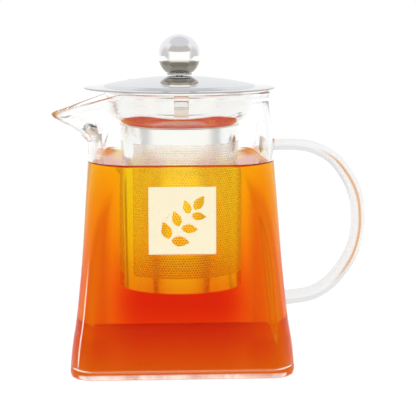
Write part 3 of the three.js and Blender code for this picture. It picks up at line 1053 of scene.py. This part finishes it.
@dataclass
class Infuser:
    """Steel flange and collar with pour slots, a perforated tube and a pan."""

    steel: float = 0.6 * MM
    steps: int = 192
    collar_radius: float = 33.1 * MM
    collar_draft: float = 1.3 * MM
    collar_depth: float = 11.5 * MM
    tube_top: float = 16.8 * MM
    slots: int = 4
    slot_width: float = 6.1 * MM
    slot_height: float = 7 * MM
    slot_corner: float = 1.2 * MM
    margin: float = 6.5 * MM
    seam_angle: float = math.radians(-150)
    seam_width: float = 9 * MM
    thin: float = 0.3 * MM
    pitch: float = 1.2 * MM
    hole: float = 0.29

    def __post_init__(self) -> None:
        """Reads the places from the frame."""
        self.lid_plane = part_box("infuser_collar")[1].z + 0.9 * MM
        self.tube_low, self.tube_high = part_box("infuser_mesh")
        self.tube_radius = self.tube_high.x

    def collar(self, steel: Material, inner_steel: Material) -> None:
        """Flange, collar and cone in one pressed sheet, with slots."""
        low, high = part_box("infuser_collar")
        t, turn = self.steel, high.z
        foot = self.lid_plane - self.collar_depth
        cone = self.lid_plane - self.tube_top
        inner = self.collar_radius - self.collar_draft
        neck = self.tube_radius - t - 0.3 * MM
        run = rounded(
            [
                (high.x, turn),
                (self.collar_radius - t, turn),
                (inner - t, foot),
                (self.tube_radius - 0.3 * MM, cone + 1.2 * MM),
                (neck - t, cone - 0.6 * MM),
                (neck - t, low.z),
            ],
            1.7 * MM,
            7,
        )
        bm = spun(sheet(run[::-1], t), self.steps, closed=True)
        piece = finished("infuser_collar_sheet", bm, steel)
        cut(piece, [self.slot(i) for i in range(self.slots)])
        # Faces looking inwards take the glowing inner steel: painted light.
        piece.data.materials.append(inner_steel)
        for face in piece.data.polygons:
            outward = Vector((face.center.x, face.center.y, 0)).dot(face.normal)
            face.material_index = int(outward < -0.5 * Vector(face.center[:2]).length)
        attach(piece, Body.INFUSER, "collar_steel", "infuser_collar")

    def slot(self, i: int) -> BMesh:
        """A block with round upper corners that cuts one slot."""
        bm = bmesh.new()
        bmesh.ops.create_cube(bm, size=1.0)
        size = Vector((self.slot_width, 14 * MM, self.slot_height))
        bmesh.ops.scale(bm, vec=size, verts=bm.verts)
        upper = [e for e in bm.edges if all(v.co.z > 0 for v in e.verts)]
        top = [e for e in upper if abs(e.verts[0].co.y - e.verts[1].co.y) > 1 * MM]
        bmesh.ops.bevel(
            bm, geom=top, offset=self.slot_corner, segments=6, profile=0.5, affect="EDGES", material=-1
        )
        height = self.lid_plane - self.collar_depth + self.slot_height / 2 + 0.2 * MM
        bmesh.ops.translate(bm, vec=(0, -self.collar_radius, height), verts=bm.verts)
        turn = Matrix.Rotation(TURN * i / self.slots, 3, "Z")
        bmesh.ops.rotate(bm, cent=(0, 0, 0), matrix=turn, verts=bm.verts)
        return bm

    def ring(self, name: str, low: float, high: float, steel: Material) -> Object:
        """A plain ring of the tube."""
        r, t = self.tube_radius, self.thin
        outline = [(r - t, low), (r, low), (r, high), (r - t, high)]
        return finished(name, spun(outline, self.steps, closed=True), steel)

    def perforated(self, steel: Material) -> list[Object]:
        """The etched sheet: rows of round holes set like bricks, wrapped round the tube.

        Returns:
            One object for each half of the tube.
        """
        r = self.tube_radius
        low, high = self.tube_low.z + self.margin, self.tube_high.z - self.margin
        around = TURN * r - self.seam_width
        columns = 2 * round(around / (2 * self.pitch))
        width = around / columns
        rows = 2 * round((high - low) / (2 * width * math.sqrt(3) / 2))
        height = (high - low) / rows
        halves = []
        for half in range(2):
            cell = self.cell(width, height, steel)
            for count, axis in ((columns // 2, 0), (rows // 2, 1)):
                step = [0.0, 0.0, 0.0]
                step[axis] = width if axis == 0 else 2 * height
                array = cell.modifiers.new("array", "ARRAY")
                array.count = count
                array.use_relative_offset, array.use_constant_offset = False, True
                array.constant_offset_displace = step
                array.use_merge_vertices, array.merge_threshold = True, SHEET_MERGE
            bake(cell)
            bm = bmesh.new()
            bm.from_mesh(cell.data)
            bmesh.ops.remove_doubles(bm, verts=bm.verts, dist=SHEET_MERGE)
            start = self.seam_angle + self.seam_width / 2 / r + half * around / 2 / r
            for v in bm.verts:
                a = start + v.co.x / r
                v.co = Vector((r * math.cos(a), r * math.sin(a), low + v.co.y))
            bmesh.ops.recalc_face_normals(bm, faces=bm.faces)
            bmesh.ops.solidify(bm, geom=bm.faces, thickness=self.thin)
            bmesh.ops.recalc_face_normals(bm, faces=bm.faces)
            bpy.data.objects.remove(cell)
            halves.append(finished(f"infuser_mesh_half_{half + 1}", bm, steel, 30.0))
        return halves

    def cell(self, width: float, height: float, steel: Material) -> Object:
        """Two hexagons of sheet, one above the other and half a step along, with a hole in each."""
        bm = bmesh.new()
        for row in range(2):
            made = bmesh.ops.create_circle(bm, cap_ends=True, segments=6, radius=1.0)
            turn = Matrix.Rotation(math.pi / 6, 3, "Z")
            bmesh.ops.rotate(bm, cent=(0, 0, 0), matrix=turn, verts=made["verts"])
            reach = (width / math.sqrt(3), width / math.sqrt(3) * height / (width * math.sqrt(3) / 2))
            bmesh.ops.scale(bm, vec=(reach[0], reach[1], 1), verts=made["verts"])
            place = (width * (0.5 + 0.5 * row), height * (0.5 + row), 0)
            bmesh.ops.translate(bm, vec=place, verts=made["verts"])
        bmesh.ops.remove_doubles(bm, verts=bm.verts, dist=SHEET_MERGE)
        cells = list(bm.faces)
        bmesh.ops.inset_individual(bm, faces=cells, thickness=width * (0.5 - self.hole))
        bmesh.ops.delete(bm, geom=cells, context="FACES")
        return finished("cell", bm, steel)

    def pan(self, steel: Material) -> None:
        """Shallow pan that closes the foot of the tube."""
        low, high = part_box("infuser_base")
        t = self.steel
        run = rounded(
            [
                (0, low.z + t + 0.5 * MM),
                (0.72 * high.x, low.z + t + 0.5 * MM),
                (0.76 * high.x, low.z + t),
                (high.x - t, low.z + t),
                (high.x - t, high.z),
            ],
            1.0 * MM,
        )
        bm = spun(sheet(run, t), self.steps)
        attach(finished("infuser_pan", bm, steel), Body.INFUSER, "pan_steel", "infuser_base")

    def build(self) -> None:
        """Makes the pieces that ride on the infuser."""
        # Painted light: the infuser steel glows a little.
        steel = Steel(
            "infuser_steel",
            colour=(0.87, 0.865, 0.85),
            glow=0.06,
            low=0.1,
            high=0.2,
            grain=260.0,
            stretch=(1, 1, 5),
        ).make()
        # Painted light: the etched steel glows a little.
        etched = Steel(
            "etched_steel", colour=(0.95, 0.95, 0.93), low=0.2, high=0.34, grain=1800.0, glow=0.1
        ).make()
        # Painted light: the inside of the collar glows, standing for light that would reach in through the
        # slots.
        inner = Steel("collar_inside_painted_glow", colour=(0.9, 0.88, 0.82), low=0.3, high=0.4, glow=0.45).make()
        self.collar(steel, inner)
        low, high = self.tube_low.z, self.tube_high.z
        top = self.ring("infuser_mesh_top_band", high - self.margin, high, steel)
        bottom = self.ring("infuser_mesh_foot_band", low, low + self.margin, steel)
        attach(top, Body.INFUSER, "mesh_steel", "infuser_mesh")
        attach(bottom, Body.INFUSER, "mesh_steel")
        for half in self.perforated(etched):
            attach(half, Body.INFUSER, "mesh_steel")
        self.seam(steel)
        self.pan(steel)

    def seam(self, steel: Material) -> None:
        """The plain strip where the sheet's ends are welded."""
        r, t = self.tube_radius, self.thin
        low, high = self.tube_low.z + self.margin, self.tube_high.z - self.margin
        bm = bmesh.new()
        verts = [bm.verts.new(p) for p in ((r - t, 0, low), (r, 0, low), (r, 0, high), (r - t, 0, high))]
        face = bm.faces.new(verts)
        start = self.seam_angle - self.seam_width / 2 / r
        bmesh.ops.rotate(bm, cent=(0, 0, 0), matrix=Matrix.Rotation(start, 3, "Z"), verts=verts)
        angle = self.seam_width / r
        bmesh.ops.spin(bm, geom=[face], cent=(0, 0, 0), axis=(0, 0, 1), angle=angle, steps=12)
        bmesh.ops.recalc_face_normals(bm, faces=bm.faces)
        attach(finished("infuser_mesh_seam", bm, steel), Body.INFUSER, "mesh_steel")


# ---------------------------------------------------------------- lid


@dataclass
class Lid:
    """Domed steel lid with a skirt, a ball knob and its screw."""

    steel: float = 0.6 * MM
    steps: int = 256
    dome_share: float = 0.79
    dome_step: float = 0.9 * MM
    vent_radius: float = 1.1 * MM

    def __post_init__(self) -> None:
        """Reads the places from the frame."""
        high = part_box("lid_cover")[1]
        self.edge = high.x
        self.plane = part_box("infuser_collar")[1].z + 0.9 * MM
        self.top = high.z
        self.dome = self.dome_share * self.edge
        self.rise = self.top - self.plane - self.dome_step

    def cover(self, steel: Material, rim: Material) -> None:
        """The disc: a flat rim, an upright step and a shallow dome."""
        run = []
        for i in range(25):
            r = (self.dome - 0.8 * MM) * i / 24
            run.append((r, self.plane + self.dome_step + self.rise * (1 - (r / self.dome) ** 2)))
        brim = rounded(
            [
                run[-1],
                (self.dome - 0.1 * MM, self.plane + self.dome_step),
                (self.dome + 0.35 * MM, self.plane + 0.05 * MM),
                (self.edge - 1.6 * MM, self.plane),
                (self.edge, self.plane - 0.25 * MM),
            ],
            0.5 * MM,
        )
        bm = spun(sheet([*run[:-1], *brim], self.steel), self.steps)
        # The outermost ring of faces takes the dark rim steel: a painted dark reflection line along the
        # edge.
        for face in bm.faces:
            centre = face.calc_center_median()
            face.material_index = int(Vector(centre[:2]).length > self.edge - 0.35 * MM)
        piece = finished("lid_disc", bm, steel, 50.0)
        piece.data.materials.append(rim)
        vent = bmesh.new()
        r = self.vent_radius
        bmesh.ops.create_cone(vent, cap_ends=True, segments=40, radius1=r, radius2=r, depth=12 * MM)
        bmesh.ops.translate(vent, vec=(-0.66 * self.dome, 0, self.plane), verts=vent.verts)
        cut(piece, [vent])
        attach(piece, Body.LID, "lid_steel", "lid_cover")

    def skirt(self, steel: Material) -> None:
        """The cup under the disc, with a rolled foot."""
        low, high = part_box("lid_skirt")
        t, bead = self.steel, 0.55 * MM
        outer = high.x - 0.35 * MM
        run = rounded(
            [(outer - 4.5 * MM, high.z), (outer, high.z), (outer, low.z + 2 * bead)],
            0.8 * MM,
        )
        roll = []
        for i in range(15):
            a = mix(math.pi / 2, math.pi / 2 - 1.7 * math.pi, i / 14)
            roll.append((outer - 0.15 * MM + bead * math.cos(a), low.z + bead + bead * math.sin(a)))
        wall = [(outer - t, low.z + 2 * bead), (outer - t, high.z - t), (outer - 4.5 * MM, high.z - t)]
        bm = spun([*run, *roll[2:13], *wall], self.steps, closed=True)
        attach(finished("lid_skirt_cup", bm, steel), Body.LID, "skirt_steel", "lid_skirt")

    def knob(self, steel: Material, dark: Material) -> None:
        """The ball with its flat foot, and the neck under it."""
        low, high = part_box("knob_ball")
        radius = high.x
        bm = bmesh.new()
        bmesh.ops.create_uvsphere(bm, u_segments=128, v_segments=96, radius=radius)
        bmesh.ops.translate(bm, vec=(0, 0, high.z - radius), verts=bm.verts)
        geom = [*bm.verts, *bm.edges, *bm.faces]
        plane = {"plane_co": (0, 0, low.z), "plane_no": (0, 0, -1)}
        made = bmesh.ops.bisect_plane(bm, geom=geom, **plane, clear_outer=True)
        edges = [g for g in made["geom_cut"] if isinstance(g, BMEdge)]
        bmesh.ops.edgeloop_fill(bm, edges=edges)
        bmesh.ops.bevel(
            bm, geom=edges, offset=0.3 * MM, segments=3, profile=0.5, affect="EDGES", material=-1
        )
        bmesh.ops.recalc_face_normals(bm, faces=bm.faces)
        attach(finished("knob_ball_solid", bm, steel, 50.0), Body.LID, "knob_steel", "knob_ball")
        seat_low, seat_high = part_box("knob_seat")
        r = seat_high.x
        outline = rounded([(0, seat_low.z), (r, seat_low.z), (r, seat_high.z), (0, seat_high.z)], 0.25 * MM)
        attach(finished("knob_neck", spun(outline, 96), dark), Body.LID, "seat_steel", "knob_seat")

    def build(self) -> None:
        """Makes the pieces that ride on the lid."""
        polished = Steel("lid_polish", colour=(0.82, 0.82, 0.825), low=0.03, high=0.07, relief=0.006).make()
        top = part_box("knob_ball")[1]
        # Painted reflection: the ball's lower part is darker, standing for dark things under it mirrored in
        # the polish.
        ball = Steel(
            "knob_polish",
            colour=(0.92, 0.915, 0.91),
            low=0.03,
            high=0.06,
            grain=500.0,
            relief=0.004,
            shade=(0.42, 0.39, 0.33),
            shade_top=top.z - 1.24 * top.x,
        ).make()
        plain = Steel("skirt_steel", low=0.12, high=0.2).make()
        satin = Steel("screw_satin", colour=(0.6, 0.6, 0.61), low=0.2, high=0.34).make()
        # Painted reflection: dark grey steel for the lid's outer edge, standing for a dark line mirrored
        # there.
        rim = Steel("lid_rim_painted_dark_reflection", colour=(0.42, 0.42, 0.42), low=0.2, high=0.3).make()
        self.cover(polished, rim)
        self.skirt(plain)
        self.knob(ball, satin)
        for node in ("knob_screw", "lock_washer"):
            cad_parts[node].material_slots[0].material = satin
            LOG.info("%s: kept from the CAD", node)


# ---------------------------------------------------------------- stage


@dataclass
class Studio:
    """Pale floor, soft light from all round and the camera."""

    distance: float = 520 * MM
    height: float = 151.6 * MM
    pitch: float = math.radians(9.3)
    turn: float = math.radians(2.8)
    shift_right: float = 12.7 * MM
    lens: float = 100.9
    floor_light: float = 0.98
    floor_front: float = 0.2

    def floor(self) -> None:
        """A pale table that ends a little in front of the pot."""
        bm = bmesh.new()
        bmesh.ops.create_grid(bm, x_segments=1, y_segments=1, size=1.0)
        bmesh.ops.scale(bm, vec=(4, 3, 1), verts=bm.verts)
        bmesh.ops.translate(bm, vec=(0, 3 - self.floor_front, CAD_LOW.z - 0.2 * MM), verts=bm.verts)
        material = bpy.data.materials.new("pale_floor")
        tree = NodeTree(material)
        matt = tree.add("BsdfDiffuse", {"Color": (0.12, 0.12, 0.12)}).outputs["BSDF"]
        both = tree.add("AddShader", {0: tree.light((1, 1, 1), self.floor_light), 1: matt})
        tree.finish(both.outputs["Shader"])
        finished("floor", bm, material)

    def sky(self) -> None:
        """White behind and at the sides, dimmer overhead, dark below the front of the table."""
        world = bpy.data.worlds.new("studio")
        bpy.context.scene.world = world
        tree = NodeTree(world)
        split = tree.add("SeparateXYZ", {"Vector": tree.add("TexCoord").outputs["Generated"]})
        ramp, blend = tree.ramp, tree.blend
        x, y, z = (split.outputs[k] for k in "XYZ")
        colour = blend(ramp(z, 0.03, 0.12), (1.0, 1.0, 1.0), (0.9, 0.91, 0.93))
        front = blend(ramp(z, 0.3, 0.42), (1.1, 1.09, 1.06), (0.56, 0.54, 0.52))
        colour = blend(ramp(y, -0.15, -0.4), colour, front)
        colour = blend(ramp(z, 0.72, 0.86), colour, (0.7, 0.7, 0.74))
        sides = tree.value("ABSOLUTE", x)
        colour = blend(ramp(sides, 0.75, 0.95), colour, (0.66, 0.66, 0.66))
        colour = blend(ramp(z, -0.41, -0.45), colour, (0.24, 0.23, 0.2))
        back = tree.add("Background", {"Color": colour})
        tree.add("OutputWorld", {"Surface": back.outputs["Background"]})

    def camera(self) -> None:
        """The camera, a little to the right of the pot's axis and looking slightly down."""
        ahead = Vector((math.sin(self.turn), math.cos(self.turn), 0))
        right = Vector((math.cos(self.turn), -math.sin(self.turn), 0))
        data = bpy.data.cameras.new("camera")
        data.lens = self.lens
        camera = bpy.data.objects.new("camera", data)
        camera.location = -self.distance * ahead + self.shift_right * right + Vector((0, 0, self.height))
        camera.rotation_euler = (math.pi / 2 - self.pitch, 0, -self.turn)
        bpy.context.scene.collection.objects.link(camera)
        bpy.context.scene.camera = camera

    def build(self) -> None:
        """Sets the stage."""
        self.floor()
        self.sky()
        self.camera()
        scene = bpy.context.scene
        scene.view_settings.view_transform = "Standard"
        scene.cycles.max_bounces = 32
        scene.cycles.transmission_bounces = 28
        scene.cycles.glossy_bounces = 10
        scene.cycles.transparent_max_bounces = 24


def main() -> None:
    """Builds the teapot from the foot up."""
    logging.basicConfig(level=logging.INFO, format="%(name)s %(message)s")
    low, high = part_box("glass_body")
    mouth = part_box("infuser_collar")[1].x + 0.6 * MM
    shape = JugShape(rim_height=high.z, foot_half=high.y, rim_radius=mouth, reach=-low.x)
    Jug(shape).build()
    Infuser().build()
    Lid().build()
    Studio().build()


if __name__ == "__main__":
    main()
